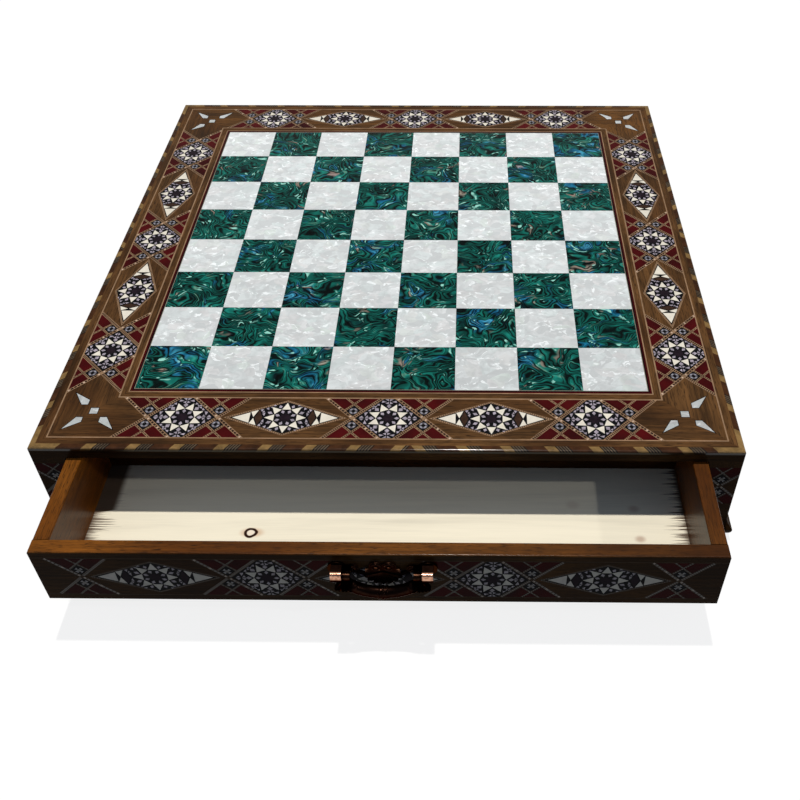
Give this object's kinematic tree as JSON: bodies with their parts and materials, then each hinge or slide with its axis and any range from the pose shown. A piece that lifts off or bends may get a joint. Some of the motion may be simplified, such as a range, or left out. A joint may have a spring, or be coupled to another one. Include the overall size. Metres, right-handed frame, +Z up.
{
  "type": "chess box",
  "caption": "Square inlaid chess board on a low box with a shallow drawer at the front and at the back, swinging bail pulls and moulded feet.",
  "frame": {"origin": "on the floor under the middle of the whole part with the front drawer standing open", "axes": "+Z up, +Y from the open front drawer to the rear drawer, +X to the right of someone who faces the front drawer"},
  "size_m": [0.5094, 0.6056, 0.091],
  "materials": {
    "walnut": "walnut veneer under thick gloss lacquer",
    "beech": "bare planed wood",
    "steel": "plain screws",
    "pearl": "mother-of-pearl, polished, under gloss lacquer",
    "abalone": "teal abalone shell with dark veins, under gloss lacquer",
    "red_wood": "dark red dyed wood under gloss lacquer",
    "light_string": "pale wood strings under gloss lacquer",
    "ebony": "black wood under gloss lacquer",
    "grey_shell": "grey shell under gloss lacquer",
    "dark_heart": "aubergine dyed wood under gloss lacquer",
    "rope_edging": "slanted blocks of pale, black and red-brown wood under gloss lacquer",
    "stained_wood": "orange-brown stain, satin",
    "plywood": "bare pine-faced plywood",
    "antique_copper": "antiqued copper, bright on the high spots"
  },
  "bodies": {
    "box": {"top_board": "walnut", "left_panel": "walnut", "right_panel": "walnut", "corner_stiles": "walnut", "drawer_guides": "beech", "base_board": "walnut", "drawer_stops": "beech", "feet": "walnut", "foot_screws": "steel", "light_squares": "pearl", "dark_squares": "abalone", "red_fillet": "red_wood", "light_strings": "light_string", "walnut_bands": "walnut", "corner_veneers": "walnut", "corner_pearls": "pearl", "ladder_strips": "light_string", "narrow_strips": "light_string", "red_panes": "red_wood", "black_diamonds": "ebony", "rosettes": "grey_shell", "star_grounds": "ebony", "pearl_points": "pearl", "star_hearts": "dark_heart", "lozenge_borders": "light_string", "band_fields": "walnut", "rope_edging": "rope_edging", "wall_walnut": "walnut", "wall_lattice": "light_string", "wall_panes": "red_wood", "wall_grounds": "ebony", "wall_points": "pearl"},
    "front_drawer": {"front_drawer_front": "stained_wood", "front_drawer_back": "stained_wood", "front_drawer_left": "stained_wood", "front_drawer_right": "stained_wood", "front_drawer_floor": "plywood", "front_drawer_walnut": "walnut", "front_drawer_lattice": "light_string", "front_drawer_panes": "red_wood", "front_drawer_grounds": "ebony", "front_drawer_points": "pearl", "front_backplate": "antique_copper", "front_posts": "antique_copper", "front_pull_screws": "steel"},
    "front_bail": {"front_bail": "antique_copper"},
    "rear_drawer": {"rear_drawer_front": "stained_wood", "rear_drawer_back": "stained_wood", "rear_drawer_left": "stained_wood", "rear_drawer_right": "stained_wood", "rear_drawer_floor": "plywood", "rear_drawer_walnut": "walnut", "rear_drawer_lattice": "light_string", "rear_drawer_panes": "red_wood", "rear_drawer_grounds": "ebony", "rear_drawer_points": "pearl", "rear_backplate": "antique_copper", "rear_posts": "antique_copper", "rear_pull_screws": "steel"},
    "rear_bail": {"rear_bail": "antique_copper"}
  },
  "joints": [
    {"name": "front_drawer_slide", "type": "slide", "parent": "box", "child": "front_drawer", "axis": [0, -1, 0], "range_m": [-0.081, 0.027]},
    {"name": "rear_drawer_slide", "type": "slide", "parent": "box", "child": "rear_drawer", "axis": [0, 1, 0], "range_m": [0, 0.108]},
    {"name": "front_handle_swing", "type": "hinge", "parent": "front_drawer", "child": "front_bail", "pos_m": [0.0025, -0.2979, 0.0684], "axis": [-1, 0, 0], "range_deg": [0, 170]},
    {"name": "rear_handle_swing", "type": "hinge", "parent": "rear_drawer", "child": "rear_bail", "pos_m": [-0.0025, 0.2979, 0.0684], "axis": [1, 0, 0], "range_deg": [0, 170]}
  ]
}
